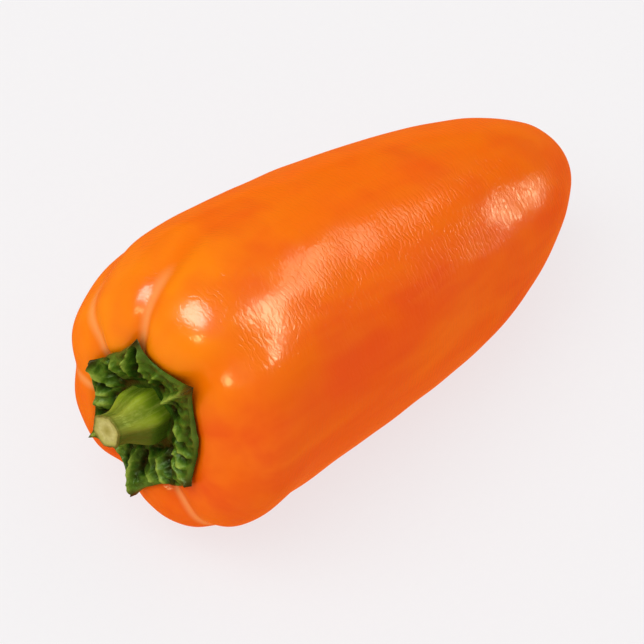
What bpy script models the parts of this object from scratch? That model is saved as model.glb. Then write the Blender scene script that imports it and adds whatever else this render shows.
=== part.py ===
"""A mini bell pepper, as picked, lying on its side: fruit, calyx and stem.

Every piece is worked out in the pepper's own growing frame: +Z runs from the blossom tip to the stem,
and +X is the side that ends up on top. An empty then lays the three pieces down together, so that the
fruit rests on a small flat under its weight, with the stem towards -X and the tip towards +X.
Each piece starts as a UV sphere, whose rings and columns a formula moves into place.
"""

import math

import bmesh
import bpy
import numpy as np
from mathutils import Matrix

MM = 0.001

# Driving dimensions of the fruit
FRUIT_LENGTH = 76 * MM
SHOULDER_RADIUS = 19.8 * MM
LIE_TILT = math.radians(7.0)
FLAT_DEPTH = 0.35 * MM

# How the fruit departs from a body turned round a straight axis
BODY_SHIFT = (0.5 * MM, 1.6 * MM)
TIP_BEND = (0.9 * MM, 0.3 * MM)
CROWN_LEAN = math.radians(6)
CROWN_LEANS_TOWARDS = math.radians(-35)
DIMPLE_OFFSET = (-1.5 * MM, 2.2 * MM)

# Driving dimensions of the calyx and the stem
CALYX_THICKNESS = 0.9 * MM
TOOTH_HALF_WIDTH = 11.0
SEAT_RADIUS = 4.9 * MM
STEM_LENGTH = 6.2 * MM
STEM_FOOT_RADIUS = 3.7 * MM
STEM_NECK_RADIUS = 2.2 * MM
STEM_BEND = (0.4 * MM, 0.6 * MM)
PIECE_GAP = 0.3 * MM

# Half outline of the fruit, from the blossom tip over the shoulder into the dimple under the stem:
# radius as a share of SHOULDER_RADIUS, height as a share of FRUIT_LENGTH
FRUIT_OUTLINE = (
    (0.00, 0.000),
    (0.155, 0.010),
    (0.335, 0.050),
    (0.576, 0.160),
    (0.760, 0.320),
    (0.893, 0.500),
    (0.974, 0.660),
    (1.000, 0.780),
    (0.982, 0.870),
    (0.918, 0.940),
    (0.760, 0.985),
    (0.560, 1.000),
    (0.400, 0.988),
    (0.200, 0.966),
    (0.000, 0.960),
)

# Furrows between the lobes: angle from the top in degrees, depth at the shoulder, half width in degrees,
# and the share of the height at which the furrow has run out
FURROWS = (
    (21, 1.15 * MM, 5, 0.60),
    (66, 1.30 * MM, 7, 0.50),
    (100, 0.60 * MM, 7, 0.60),
    (160, 1.70 * MM, 10, 0.45),
    (215, 0.90 * MM, 6, 0.86),
    (329, 0.85 * MM, 8, 0.84),
)

# Lobes that stand out from the round: angle from the top in degrees, height, half width in degrees
SWELLS = (
    (73, 0.9 * MM, 13),
    (222, 0.5 * MM, 16),
)

# Flatter and fuller parts of the front flank: angle from the top in degrees, how far it is pressed in,
# half width in degrees, and the middle and the half length as shares of the height
FLANKS = (
    (250, 1.25 * MM, 30, 0.74, 0.13),
    (252, -0.60 * MM, 30, 0.32, 0.10),
)

# Teeth of the calyx: angle from the top in degrees, radius at the point, how far the point curls up,
# and radius of the valley that follows
TEETH = (
    (20, 11.8 * MM, 0.5 * MM, 8.9 * MM),
    (74, 11.0 * MM, 0.4 * MM, 8.4 * MM),
    (135, 11.2 * MM, 0.3 * MM, 8.6 * MM),
    (181, 12.6 * MM, 0.3 * MM, 9.2 * MM),
    (243, 10.5 * MM, 0.3 * MM, 9.3 * MM),
    (328, 12.3 * MM, 1.2 * MM, 9.0 * MM),
)

FRUIT_COLUMNS = 72
FRUIT_RINGS = 40
CALYX_COLUMNS_PER_TOOTH = 10
CALYX_SKIN_RINGS = 9
CALYX_SEAT_RINGS = 2
STEM_RIBS = 6
STEM_COLUMNS = 36
STEM_SIDE_RINGS = 9
STEM_CAP_RINGS = 2


def clear_scene():
    for obj in list(bpy.data.objects):
        bpy.data.objects.remove(obj)


def smooth_curve(points, samples=1200):
    """A smooth curve through points that starts and ends on the axis, crossing it level.

    Each span is a cubic Hermite, whose end tangents run from the point before to the point after.
    Mirror images of the second and the last but one point stand beyond the two ends.
    """
    nodes = np.array(points, float)
    mirror = np.array([-1.0, 1.0])
    nodes = np.vstack([nodes[1] * mirror, nodes, nodes[-2] * mirror])
    chord = np.linalg.norm(np.diff(nodes, axis=0), axis=1)
    place = np.concatenate([[0.0], np.cumsum(chord)])
    slope = (nodes[2:] - nodes[:-2]) / (place[2:] - place[:-2])[:, None]
    at = np.linspace(place[1], place[-2], samples)
    span = np.clip(np.searchsorted(place, at, side="right") - 1, 1, len(nodes) - 3)
    width = (place[span + 1] - place[span])[:, None]
    u = ((at - place[span]) / width[:, 0])[:, None]
    return (
        (2 * u**3 - 3 * u**2 + 1) * nodes[span]
        + (u**3 - 2 * u**2 + u) * width * slope[span - 1]
        + (3 * u**2 - 2 * u**3) * nodes[span + 1]
        + (u**3 - u**2) * width * slope[span]
    )


class Outline:
    """The fruit's half outline, read by a share from 0 at the tip to 1 at the floor of the dimple.

    The share grows with length along the outline, and faster where it bends, so that evenly spaced
    rings lie closer together over the tip and the shoulder.
    """

    BEND_WEIGHT = 0.35

    def __init__(self):
        curve = smooth_curve(FRUIT_OUTLINE) * (SHOULDER_RADIUS, FRUIT_LENGTH)
        step = np.diff(curve, axis=0)
        length = np.linalg.norm(step, axis=1)
        heading = np.unwrap(np.arctan2(step[:, 1], step[:, 0]))
        turn = np.abs(np.gradient(heading))
        grown = length / length.sum() + self.BEND_WEIGHT * turn / turn.sum()
        self.share = np.concatenate([[0.0], np.cumsum(grown)]) / grown.sum()
        self.curve = curve
        along = np.gradient(curve, axis=0)
        along /= np.linalg.norm(along, axis=1)[:, None]
        self.normal = np.column_stack([along[:, 1], -along[:, 0]])

    def read(self, share):
        """Radius, height, and the two parts of the outward normal at each share."""
        values = (self.curve[:, 0], self.curve[:, 1], self.normal[:, 0], self.normal[:, 1])
        return [np.interp(share, self.share, value) for value in values]

    def share_on_top(self, radius):
        """The share at which the outline passes a radius above the widest part of the fruit."""
        widest = int(np.argmax(self.curve[:, 0]))
        top = slice(widest, None)
        return np.interp(radius, self.curve[top, 0][::-1], self.share[top][::-1])


OUTLINE = Outline()


def angle_from(around, degrees):
    """The signed angle in degrees from a direction, between -180 and 180."""
    return (np.degrees(around) - degrees + 180.0) % 360.0 - 180.0


def eased(value, low, high):
    """0 below low, 1 above high, and a smooth step between them."""
    x = np.clip((value - low) / (high - low), 0.0, 1.0)
    return x * x * (3 - 2 * x)


def furrow_depth(radius, height, around):
    """How far the skin sinks below the outline, less where a lobe stands out.

    Each furrow is a bell-shaped groove round its own angle. It is deepest over the shoulder, grows wider
    and shallower towards the tip until it has run out, and ends at the middle of the dimple.
    """
    share_up = height / FRUIT_LENGTH
    in_dimple = eased(radius / SHOULDER_RADIUS, 0.12, 0.55)
    beyond_calyx = eased(radius / SHOULDER_RADIUS, 0.55, 0.90)
    spread = 1.0 + 1.3 * (1.0 - eased(share_up, 0.45, 0.95))
    sunk = np.zeros_like(radius)
    for degrees, depth, half_width, run_out in FURROWS:
        bell = np.exp(-0.5 * (angle_from(around, degrees) / (half_width * spread)) ** 2)
        sunk += depth * bell * eased(share_up, run_out, 0.97) * in_dimple
    for degrees, rise, half_width in SWELLS:
        bell = np.exp(-0.5 * (angle_from(around, degrees) / half_width) ** 2)
        sunk -= rise * bell * eased(share_up, 0.50, 0.90) * beyond_calyx
    for degrees, depth, half_width, middle, half_length in FLANKS:
        across = np.exp(-0.5 * (angle_from(around, degrees) / half_width) ** 2)
        along = np.exp(-0.5 * ((share_up - middle) / half_length) ** 2)
        sunk += depth * across * along * in_dimple
    return sunk


def points_round_axis(radius, height, around):
    return np.column_stack([radius * np.cos(around), radius * np.sin(around), height])


def lopsided(points):
    """Carries the round, straight form over to the lopsided one; all three pieces go through it.

    The body stands a little beside the crown, and the tip curls. The crown leans over to one side,
    and the dimple, with the calyx and the stem in it, sits off the middle of the crown.
    """
    x, y, z = points.T
    from_crown = np.clip(1.0 - z / FRUIT_LENGTH, 0.0, 1.0)
    beside = eased(from_crown, 0.02, 0.20)
    near_top = eased(z / FRUIT_LENGTH, 0.75, 0.95)
    in_dimple = near_top * (1.0 - eased(np.hypot(x, y), SEAT_RADIUS, 3.0 * SEAT_RADIUS))
    towards = x * math.cos(CROWN_LEANS_TOWARDS) + y * math.sin(CROWN_LEANS_TOWARDS)
    sunk = math.tan(CROWN_LEAN) * towards * eased(z / FRUIT_LENGTH, 0.55, 0.95)
    moved_x = x + BODY_SHIFT[0] * beside + TIP_BEND[0] * from_crown**2 + DIMPLE_OFFSET[0] * in_dimple
    moved_y = y + BODY_SHIFT[1] * beside + TIP_BEND[1] * from_crown**2 + DIMPLE_OFFSET[1] * in_dimple
    return np.column_stack([moved_x, moved_y, z - sunk])


def fruit_points(share, around):
    """The lobed cone: the outline turned round the axis, less the furrows along its normal."""
    radius, height, normal_out, normal_up = OUTLINE.read(share)
    sunk = furrow_depth(radius, height, around)
    return lopsided(points_round_axis(radius - sunk * normal_out, height - sunk * normal_up, around))


def tooth_gap(around):
    """Which gap between two teeth a direction falls into, and its share of the way across that gap."""
    first = TEETH[0][0]
    knots = np.array([tooth[0] for tooth in TEETH] + [first + 360.0])
    degrees = np.mod(np.degrees(around) - first, 360.0) + first
    gap = np.clip(np.searchsorted(knots, degrees, side="right") - 1, 0, len(TEETH) - 1)
    return gap, degrees - knots[gap], knots[gap + 1] - degrees


def calyx_around(columns_round):
    """Evenly spaced columns moved so that one runs to the point of each tooth.

    Between two teeth the columns stand closer together next to the teeth.
    """
    knots = np.array([tooth[0] for tooth in TEETH] + [TEETH[0][0] + 360.0])
    place = np.mod(columns_round, 1.0) * len(TEETH)
    place -= 0.07 * np.sin(2 * math.pi * place)
    return np.radians(np.interp(place, np.arange(len(knots)), knots))


def calyx_rim(around):
    """Radius of the star's edge: from each tooth it falls off exponentially to the valleys beside it."""
    gap, past, ahead = tooth_gap(around)
    point = np.array([tooth[1] for tooth in TEETH])
    valley = np.array([tooth[3] for tooth in TEETH])[gap]
    next_point = point[(gap + 1) % len(TEETH)]
    from_last = (point[gap] - valley) * np.exp(-past / TOOTH_HALF_WIDTH)
    from_next = (next_point - valley) * np.exp(-ahead / TOOTH_HALF_WIDTH)
    return valley + np.maximum(from_last, from_next)


def calyx_curl(radius, around):
    """How far the teeth lift off the fruit, growing with the square of the way out to the point."""
    curl = np.zeros_like(radius)
    for degrees, point, rise, _ in TEETH:
        out = np.clip((radius - 0.6 * point) / (0.4 * point), 0.0, 1.0)
        curl += rise * out**2 * np.exp(-0.5 * (angle_from(around, degrees) / 10.0) ** 2)
    return curl


def calyx_relief(radius, around):
    """Height of the folds on the calyx: a keel to each tooth, and a collar round the foot of the stem."""
    keels = np.zeros_like(radius)
    for tooth in TEETH:
        keels += np.exp(-0.5 * (angle_from(around, tooth[0]) / 9.0) ** 2)
    keels *= eased(radius, 0.8 * SEAT_RADIUS, 1.3 * SEAT_RADIUS)
    collar = np.exp(-0.5 * ((radius - 1.3 * SEAT_RADIUS) / (1.0 * MM)) ** 2)
    fade = 1.0 - eased(radius, 1.5 * SEAT_RADIUS, 2.5 * SEAT_RADIUS)
    return (1.0 * MM * keels + 0.7 * MM * collar) * fade


def calyx_skin(radius, around, lift):
    """A layer of the calyx: the fruit's shoulder without its furrows, raised by lift.

    It rises straight up inside the dimple, and along the outline's normal beyond the crown.
    """
    outline_radius, height, normal_out, normal_up = OUTLINE.read(OUTLINE.share_on_top(radius))
    out = outline_radius + lift * np.maximum(normal_out, 0.0)
    up = height + lift * np.where(normal_out > 0.0, normal_up, 1.0)
    return points_round_axis(out, up, around)


def calyx_seat():
    """Height of the level boss in the middle of the calyx, where the stem stands."""
    edge = np.full(1, SEAT_RADIUS)
    return calyx_skin(edge, np.zeros(1), PIECE_GAP + CALYX_THICKNESS)[0, 2]


def calyx_points(share, around):
    """A closed star. The lower half of the sphere lies on the shoulder, and the upper half over it.

    The inner rings of the upper half are round and level, as the seat of the stem.
    The others spread evenly from there to the edge of the star.
    """
    rings = 2 * CALYX_SKIN_RINGS + 1
    ring = np.rint(share * rings)
    upper = ring > CALYX_SKIN_RINGS
    from_pole = np.where(upper, rings - ring, ring)
    turned = calyx_around(around / (2 * math.pi))
    in_seat = SEAT_RADIUS * from_pole / CALYX_SEAT_RINGS
    beyond = (from_pole - CALYX_SEAT_RINGS) / (CALYX_SKIN_RINGS - CALYX_SEAT_RINGS)
    past_seat = SEAT_RADIUS + (calyx_rim(turned) - SEAT_RADIUS) * beyond
    radius = np.where(from_pole <= CALYX_SEAT_RINGS, in_seat, past_seat)
    base = PIECE_GAP + calyx_curl(radius, turned)
    lift = np.where(upper, base + CALYX_THICKNESS + calyx_relief(radius, turned), base)
    points = calyx_skin(radius, turned, lift)
    seated = upper & (from_pole <= CALYX_SEAT_RINGS)
    points[seated, 2] = calyx_seat()
    return lopsided(points)


def stem_points(share, around):
    """A ribbed stalk with flat ends: a swollen foot that narrows to the neck below the cut."""
    rings = STEM_SIDE_RINGS + 2 * STEM_CAP_RINGS + 1
    ring = np.rint(share * rings)
    up = np.clip((ring - STEM_CAP_RINGS) / (rings - 2 * STEM_CAP_RINGS), 0.0, 1.0)
    from_pole = np.minimum(ring, rings - ring)
    cap_share = np.clip(from_pole / STEM_CAP_RINGS, 0.0, 1.0)
    flare = (STEM_FOOT_RADIUS - STEM_NECK_RADIUS) * (1.0 - eased(up, 0.05, 0.85))
    ribs = 1.0 + 0.06 * np.cos(STEM_RIBS * around) * (1.0 - 0.5 * up)
    radius = (STEM_NECK_RADIUS + flare) * ribs * cap_share
    points = points_round_axis(radius, calyx_seat() + PIECE_GAP + STEM_LENGTH * up, around)
    points = lopsided(points)
    points[:, 0] += STEM_BEND[0] * up**2
    points[:, 1] += STEM_BEND[1] * up**2
    return points


def principled(name, colour, roughness):
    material = bpy.data.materials.new(name)
    material.use_nodes = True
    shader = material.node_tree.nodes["Principled BSDF"]
    shader.inputs["Base Color"].default_value = (*colour, 1.0)
    shader.inputs["Roughness"].default_value = roughness
    shader.inputs["Metallic"].default_value = 0.0
    return material


def orange_skin():
    return principled("orange_skin", (1.0, 0.17, 0.003), 0.25)


def calyx_green():
    return principled("calyx_green", (0.03, 0.09, 0.015), 0.5)


def stem_green():
    return principled("stem_green", (0.16, 0.26, 0.03), 0.5)


def reshaped_sphere(name, columns, rings, place, material):
    """A closed body: a UV sphere whose points place(share, around) moves.

    share runs from 0 at the sphere's lower pole to 1 at its upper pole, and around is the longitude.
    """
    mesh = bpy.data.meshes.new(name)
    ball = bmesh.new()
    bmesh.ops.create_uvsphere(ball, u_segments=columns, v_segments=rings, radius=1.0)
    ball.to_mesh(mesh)
    ball.free()
    points = np.empty(len(mesh.vertices) * 3)
    mesh.vertices.foreach_get("co", points)
    x, y, z = points.reshape(-1, 3).T
    moved = place(np.arccos(np.clip(-z, -1.0, 1.0)) / math.pi, np.arctan2(y, x))
    mesh.vertices.foreach_set("co", moved.ravel())
    mesh.update()
    mesh.shade_smooth()
    mesh.materials.append(material)
    obj = bpy.data.objects.new(name, mesh)
    return obj


def cut_flat(obj, down, depth):
    """Cuts the lowest bit off a body along a direction, closes the cut, and returns how low the cut lies."""
    points = np.array([vertex.co for vertex in obj.data.vertices])
    lowest = (points @ down).max() - depth
    body = bmesh.new()
    body.from_mesh(obj.data)
    cut = bmesh.ops.bisect_plane(
        body,
        geom=body.verts[:] + body.edges[:] + body.faces[:],
        plane_co=down * lowest,
        plane_no=down,
        clear_outer=True,
        dist=1e-6,
    )
    edges = [item for item in cut["geom_cut"] if isinstance(item, bmesh.types.BMEdge)]
    flat = bmesh.ops.contextual_create(body, geom=edges)
    for face in flat["faces"]:
        face.smooth = False
    bmesh.ops.recalc_face_normals(body, faces=body.faces[:])
    body.to_mesh(obj.data)
    body.free()
    return lowest


def lay_down(pieces, tilt, height):
    """Parents the pieces to an empty that lays them along X, centred over the origin at that height."""
    turn = Matrix(
        (
            (math.sin(tilt), 0.0, -math.cos(tilt)),
            (0.0, 1.0, 0.0),
            (math.cos(tilt), 0.0, math.sin(tilt)),
        )
    )
    points = np.array([vertex.co for piece in pieces for vertex in piece.data.vertices])
    turned = points @ np.array(turn).T
    middle = (turned.min(axis=0) + turned.max(axis=0)) / 2
    empty = bpy.data.objects.new("pepper_axis", None)
    empty.rotation_euler = turn.to_euler()
    empty.location = (-middle[0], -middle[1], height)
    for piece in pieces:
        piece.parent = empty
    return empty


def build_fruit(down):
    """The orange body with its flat, and how far below the growing frame's origin that flat lies."""
    fruit = reshaped_sphere("fruit", FRUIT_COLUMNS, FRUIT_RINGS, fruit_points, orange_skin())
    return fruit, cut_flat(fruit, down, FLAT_DEPTH)


def build_calyx():
    columns = CALYX_COLUMNS_PER_TOOTH * len(TEETH)
    rings = 2 * CALYX_SKIN_RINGS + 1
    return reshaped_sphere("calyx", columns, rings, calyx_points, calyx_green())


def build_stem():
    rings = STEM_SIDE_RINGS + 2 * STEM_CAP_RINGS + 1
    stem = reshaped_sphere("stem", STEM_COLUMNS, rings, stem_points, stem_green())
    stem.data.set_sharp_from_angle(angle=math.radians(50))
    return stem


def build_pepper():
    down = np.array([-math.cos(LIE_TILT), 0.0, -math.sin(LIE_TILT)])
    fruit, height = build_fruit(down)
    pieces = [fruit, build_calyx(), build_stem()]
    axis = lay_down(pieces, LIE_TILT, height)
    collection = bpy.data.collections.new("sweet_pepper")
    bpy.context.scene.collection.children.link(collection)
    for obj in [axis, *pieces]:
        collection.objects.link(obj)


clear_scene()
build_pepper()
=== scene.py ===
"""A mini sweet pepper lying on its side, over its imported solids: the fruit, the calyx and the cut stem."""

import math

import bpy
import numpy as np
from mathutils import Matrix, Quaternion, Vector


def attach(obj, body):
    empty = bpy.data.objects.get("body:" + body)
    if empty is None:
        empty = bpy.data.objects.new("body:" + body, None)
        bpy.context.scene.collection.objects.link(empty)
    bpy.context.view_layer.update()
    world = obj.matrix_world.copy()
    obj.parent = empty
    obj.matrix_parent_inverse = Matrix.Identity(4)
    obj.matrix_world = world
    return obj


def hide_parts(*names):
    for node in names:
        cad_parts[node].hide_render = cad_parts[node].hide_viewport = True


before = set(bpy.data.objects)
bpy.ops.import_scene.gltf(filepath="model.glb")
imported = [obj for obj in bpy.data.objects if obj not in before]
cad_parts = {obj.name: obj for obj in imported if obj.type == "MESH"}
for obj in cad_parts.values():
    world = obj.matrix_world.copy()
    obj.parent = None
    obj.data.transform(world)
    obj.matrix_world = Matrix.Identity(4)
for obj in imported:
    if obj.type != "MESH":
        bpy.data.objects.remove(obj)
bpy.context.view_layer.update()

# The fruit: a hollow berry of crisp flesh under a thin, tough, waxy skin, grown in one piece.
# Lobes swell round the stem end, with furrows between them, and run out into a blunt cone.
# It is worked out as it hangs on the plant, in mm: +Z from blossom tip to stem, +X to the side on top.
FRUIT_LENGTH = 76.0
SHOULDER_RADIUS = 19.8
FRUIT_OUTLINE = (
    (0.00, 0.000), (0.155, 0.010), (0.335, 0.050), (0.576, 0.160), (0.760, 0.320),
    (0.893, 0.500), (0.974, 0.660), (1.000, 0.780), (0.982, 0.870), (0.918, 0.940),
    (0.760, 0.985), (0.560, 1.000), (0.400, 0.988), (0.200, 0.966), (0.000, 0.960),
)
# Furrows: angle, depth, half width in degrees, and the share of the height where each runs out
FURROWS = (
    (21, 1.15, 5, 0.60), (66, 1.30, 7, 0.50), (100, 0.60, 7, 0.60),
    (160, 1.70, 10, 0.45), (215, 0.90, 6, 0.86), (329, 0.85, 8, 0.84),
)
# Furrows that get a painted highlight line by the calyx, and that line's half width in degrees
PAINTED_HIGHLIGHT_FURROWS = (21, 66, 100, 160, 215)
PAINTED_HIGHLIGHT_HALF_WIDTH = 2.4
# Swells: angle, rise, half width in degrees
SWELLS = ((73, 0.9, 13), (222, 0.5, 16))
# Flanks: angle, depth, half width in degrees, and middle and half length as shares of the height
FLANKS = ((250, 1.25, 30, 0.74, 0.13), (252, -0.60, 30, 0.32, 0.10))
BODY_SHIFT = (0.5, 1.6)
TIP_BEND = (0.9, 0.3)
CROWN_LEAN = math.radians(6)
CROWN_LEANS_TOWARDS = math.radians(-35)
DIMPLE_OFFSET = (-1.5, 2.2)
SEAT_RADIUS = 4.9
LIE_TILT = math.radians(7.0)
TIP_IN_ROW_FRAME = (40.6220, -1.8526, 11.8757)
OUTLINE_SAMPLES = 5000
OUTLINE_SOFTENING = 1.0
BEND_WEIGHT = 0.35
# Lumps: height, how fast they change along the fruit next to round it, length, seed
LUMPS = ((0.11, 0.30, 9.0, 11), (0.14, 1.0, 17.0, 12), (0.045, 0.8, 6.5, 14), (0.030, 0.6, 4.2, 13))
SCAR_DEPTH = 0.35
SCAR_RADIUS = 0.55
FRUIT_RINGS = 236
FRUIT_COLUMNS = 384


def eased(value, low, high):
    """0 below low and 1 above high, with 6x^5 - 15x^4 + 10x^3 between, which joins on without a kink."""
    x = np.clip((value - low) / (high - low), 0.0, 1.0)
    return x**3 * (x * (6 * x - 15) + 10)


def smooth_curve(points, samples):
    """A cubic Hermite curve through points that crosses the axis level at both ends.

    Each end tangent runs from the point before to the point after, with mirror images beyond the ends.
    """
    knots = np.array(points, float)
    mirror = np.array([-1.0, 1.0])
    knots = np.vstack([knots[1] * mirror, knots, knots[-2] * mirror])
    chord = np.linalg.norm(np.diff(knots, axis=0), axis=1)
    place = np.concatenate([[0.0], np.cumsum(chord)])
    slope = (knots[2:] - knots[:-2]) / (place[2:] - place[:-2])[:, None]
    at = np.linspace(place[1], place[-2], samples)
    span = np.clip(np.searchsorted(place, at, side="right") - 1, 1, len(knots) - 3)
    width = (place[span + 1] - place[span])[:, None]
    u = ((at - place[span]) / width[:, 0])[:, None]
    return (
        (2 * u**3 - 3 * u**2 + 1) * knots[span]
        + (u**3 - 2 * u**2 + u) * width * slope[span - 1]
        + (3 * u**2 - 2 * u**3) * knots[span + 1]
        + (u**3 - u**2) * width * slope[span]
    )


def softened(curve, reach):
    """The curve averaged along itself with a bell of that width in mm, so that its bend has no jumps."""
    step = np.linalg.norm(np.diff(curve, axis=0), axis=1).mean()
    half = int(3 * reach / step)
    weights = np.exp(-0.5 * (np.arange(-half, half + 1) * step / reach) ** 2)
    mirror = np.array([-1.0, 1.0])
    before = curve[1 : half + 1][::-1] * mirror
    after = curve[-half - 1 : -1][::-1] * mirror
    longer = np.vstack([before, curve, after])
    columns = [np.convolve(longer[:, axis], weights / weights.sum(), "valid") for axis in (0, 1)]
    return np.column_stack(columns)


outline = smooth_curve(FRUIT_OUTLINE, OUTLINE_SAMPLES) * (SHOULDER_RADIUS, FRUIT_LENGTH)
outline = softened(outline, OUTLINE_SOFTENING)
outline_steps = np.diff(outline, axis=0)
outline_lengths = np.linalg.norm(outline_steps, axis=1)
outline_turns = np.abs(np.gradient(np.unwrap(np.arctan2(outline_steps[:, 1], outline_steps[:, 0]))))
outline_growth = outline_lengths / outline_lengths.sum() + BEND_WEIGHT * outline_turns / outline_turns.sum()
outline_share = np.concatenate([[0.0], np.cumsum(outline_growth)]) / outline_growth.sum()
outline_along = np.gradient(outline, axis=0)
outline_along /= np.linalg.norm(outline_along, axis=1)[:, None]


def read_outline(share):
    """Radius, height and outward normal of the half outline, from share 0 at the tip to 1 in the dimple."""
    values = (outline[:, 0], outline[:, 1], outline_along[:, 1], -outline_along[:, 0])
    return [np.interp(share, outline_share, value) for value in values]


def degrees_from(around, degrees):
    return (np.degrees(around) - degrees + 180.0) % 360.0 - 180.0


def bell(offset, half_width):
    return np.exp(-0.5 * (offset / half_width) ** 2)


def furrow_depth(radius, height, around):
    """How far the skin sinks: a bell-shaped groove for each furrow, less one for each swell, and a
    shallow broad bell for each flank that is flatter or fuller than the round.

    A groove is deepest over the shoulder, wider and shallower towards the tip, and ends in the dimple.
    """
    share_up = height / FRUIT_LENGTH
    in_dimple = eased(radius / SHOULDER_RADIUS, 0.12, 0.55)
    spread = 1.0 + 1.3 * (1.0 - eased(share_up, 0.45, 0.95))
    sunk = np.zeros_like(radius)
    for degrees, depth, half_width, run_out in FURROWS:
        groove = bell(degrees_from(around, degrees), half_width * spread)
        sunk += depth * groove * eased(share_up, run_out, 0.97) * in_dimple
    for degrees, rise, half_width in SWELLS:
        lobe = bell(degrees_from(around, degrees), half_width)
        sunk -= rise * lobe * eased(share_up, 0.50, 0.90) * eased(radius / SHOULDER_RADIUS, 0.55, 0.90)
    for degrees, depth, half_width, middle, half_length in FLANKS:
        pressed = bell(degrees_from(around, degrees), half_width) * bell(share_up - middle, half_length)
        sunk += depth * pressed * in_dimple
    return sunk


def waves(points, length, seed, number=14):
    """An uneven ripple, mostly between -1 and 1: plane waves near one length, added up.

    Their directions, lengths and phases are drawn from the seed.
    """
    draw = np.random.default_rng(seed)
    direction = draw.normal(size=(number, 3))
    direction /= np.linalg.norm(direction, axis=1)[:, None]
    pace = 2 * math.pi / (length * draw.uniform(0.75, 1.35, number))
    phase = draw.uniform(0.0, 2 * math.pi, number)
    return np.cos(points @ (direction * pace[:, None]).T + phase).sum(axis=-1) / math.sqrt(2 * number)


def round_axis(radius, height, around):
    return np.stack([radius * np.cos(around), radius * np.sin(around), height + 0 * around], axis=-1)


def lopsided(points):
    """The round, straight form made lopsided; fruit, calyx and stem all go through it.

    The body stands beside the crown, the tip curls, the crown leans, and the dimple is off its middle.
    """
    x, y, z = points[..., 0], points[..., 1], points[..., 2]
    from_crown = np.clip(1.0 - z / FRUIT_LENGTH, 0.0, 1.0)
    beside = eased(from_crown, 0.02, 0.20)
    near_top = eased(z / FRUIT_LENGTH, 0.75, 0.95)
    in_dimple = near_top * (1.0 - eased(np.hypot(x, y), SEAT_RADIUS, 3.0 * SEAT_RADIUS))
    towards = x * math.cos(CROWN_LEANS_TOWARDS) + y * math.sin(CROWN_LEANS_TOWARDS)
    sunk = math.tan(CROWN_LEAN) * towards * eased(z / FRUIT_LENGTH, 0.55, 0.95)
    moved_x = x + BODY_SHIFT[0] * beside + TIP_BEND[0] * from_crown**2 + DIMPLE_OFFSET[0] * in_dimple
    moved_y = y + BODY_SHIFT[1] * beside + TIP_BEND[1] * from_crown**2 + DIMPLE_OFFSET[1] * in_dimple
    return np.stack([moved_x, moved_y, z - sunk], axis=-1)


def laid_down(points):
    """Growing-frame mm turned about Y, so that the axis lies along X with its tip low, as metres."""
    turn = np.array(
        [
            [math.sin(LIE_TILT), 0.0, -math.cos(LIE_TILT)],
            [0.0, 1.0, 0.0],
            [math.cos(LIE_TILT), 0.0, math.sin(LIE_TILT)],
        ]
    )
    return (points @ turn.T + TIP_IN_ROW_FRAME) / 1000.0


def closed_skin(name, points, marks):
    """A closed mesh from a grid of rings, whose first and last ring shrink to one point each.

    marks are more grids of three values a point, kept as attributes for the materials.
    """
    rings, columns = points.shape[0] - 2, points.shape[1]

    def listed(grid):
        return np.vstack([grid[0].mean(axis=0), grid[1:-1].reshape(-1, 3), grid[-1].mean(axis=0)])

    here = 1 + np.arange(rings * columns).reshape(rings, columns)
    right = np.roll(here, -1, axis=1)
    quads = np.stack([here[:-1], right[:-1], right[1:], here[1:]], axis=-1).reshape(-1, 4)
    low = np.stack([np.zeros(columns, int), right[0], here[0]], axis=-1)
    high = np.stack([here[-1], right[-1], np.full(columns, rings * columns + 1)], axis=-1)
    mesh = bpy.data.meshes.new(name)
    mesh.from_pydata(listed(points), [], [*low.tolist(), *quads.tolist(), *high.tolist()])
    for mark, grid in marks.items():
        values = mesh.attributes.new(mark, "FLOAT_VECTOR", "POINT")
        values.data.foreach_set("vector", listed(grid).astype(np.float32).ravel())
    mesh.shade_smooth()
    piece = bpy.data.objects.new(name, mesh)
    bpy.context.scene.collection.objects.link(piece)
    return piece


def linear(colour):
    """An sRGB hex colour as linear red, green and blue, with an alpha of 1."""
    parts = np.array([int(colour[at : at + 2], 16) for at in (1, 3, 5)]) / 255.0
    curve = np.where(parts > 0.04045, ((parts + 0.055) / 1.055) ** 2.4, parts / 12.92)
    return (*curve.tolist(), 1.0)


def add_node(material, kind, inputs=None, stops=None, **settings):
    """Adds one node with its settings; inputs are values or other nodes' outputs, and stops fill a ramp."""
    node = material.node_tree.nodes.new(kind)
    for key, value in settings.items():
        setattr(node, key, value)
    for key, value in (inputs or {}).items():
        if isinstance(value, bpy.types.NodeSocket):
            material.node_tree.links.new(value, node.inputs[key])
        else:
            node.inputs[key].default_value = value
    for number, (place, colour) in enumerate(stops or ()):
        elements = node.color_ramp.elements
        element = elements[number] if number < 2 else elements.new(place)
        element.position = place
        element.color = linear(colour) if isinstance(colour, str) else (colour, colour, colour, 1.0)
    return node


share, around = np.meshgrid(
    np.linspace(0.0, 1.0, FRUIT_RINGS + 1),
    np.arange(FRUIT_COLUMNS) * 2 * math.pi / FRUIT_COLUMNS,
    indexing="ij",
)
radius, height, normal_out, normal_up = read_outline(share)
straight = round_axis(radius, height, around)
near_tip = height / FRUIT_LENGTH < 0.5
clear_of_calyx = np.where(near_tip, 1.0, eased(radius / SHOULDER_RADIUS, 0.50, 0.80))
clear_of_scar = eased(height / FRUIT_LENGTH, 0.0, 0.06)
lumps = sum(rise * waves(straight * (1.0, 1.0, pace), length, seed) for rise, pace, length, seed in LUMPS)
sunk = furrow_depth(radius, height, around)
drop = sunk + lumps * (clear_of_calyx * clear_of_scar)
scar = SCAR_DEPTH * bell(radius, SCAR_RADIUS) * near_tip
fruit_grown = lopsided(round_axis(radius - drop * normal_out, height - drop * normal_up - scar, around))
fruit_points = laid_down(fruit_grown)
fruit_points[..., 2] = np.maximum(fruit_points[..., 2], 0.0)
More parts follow.
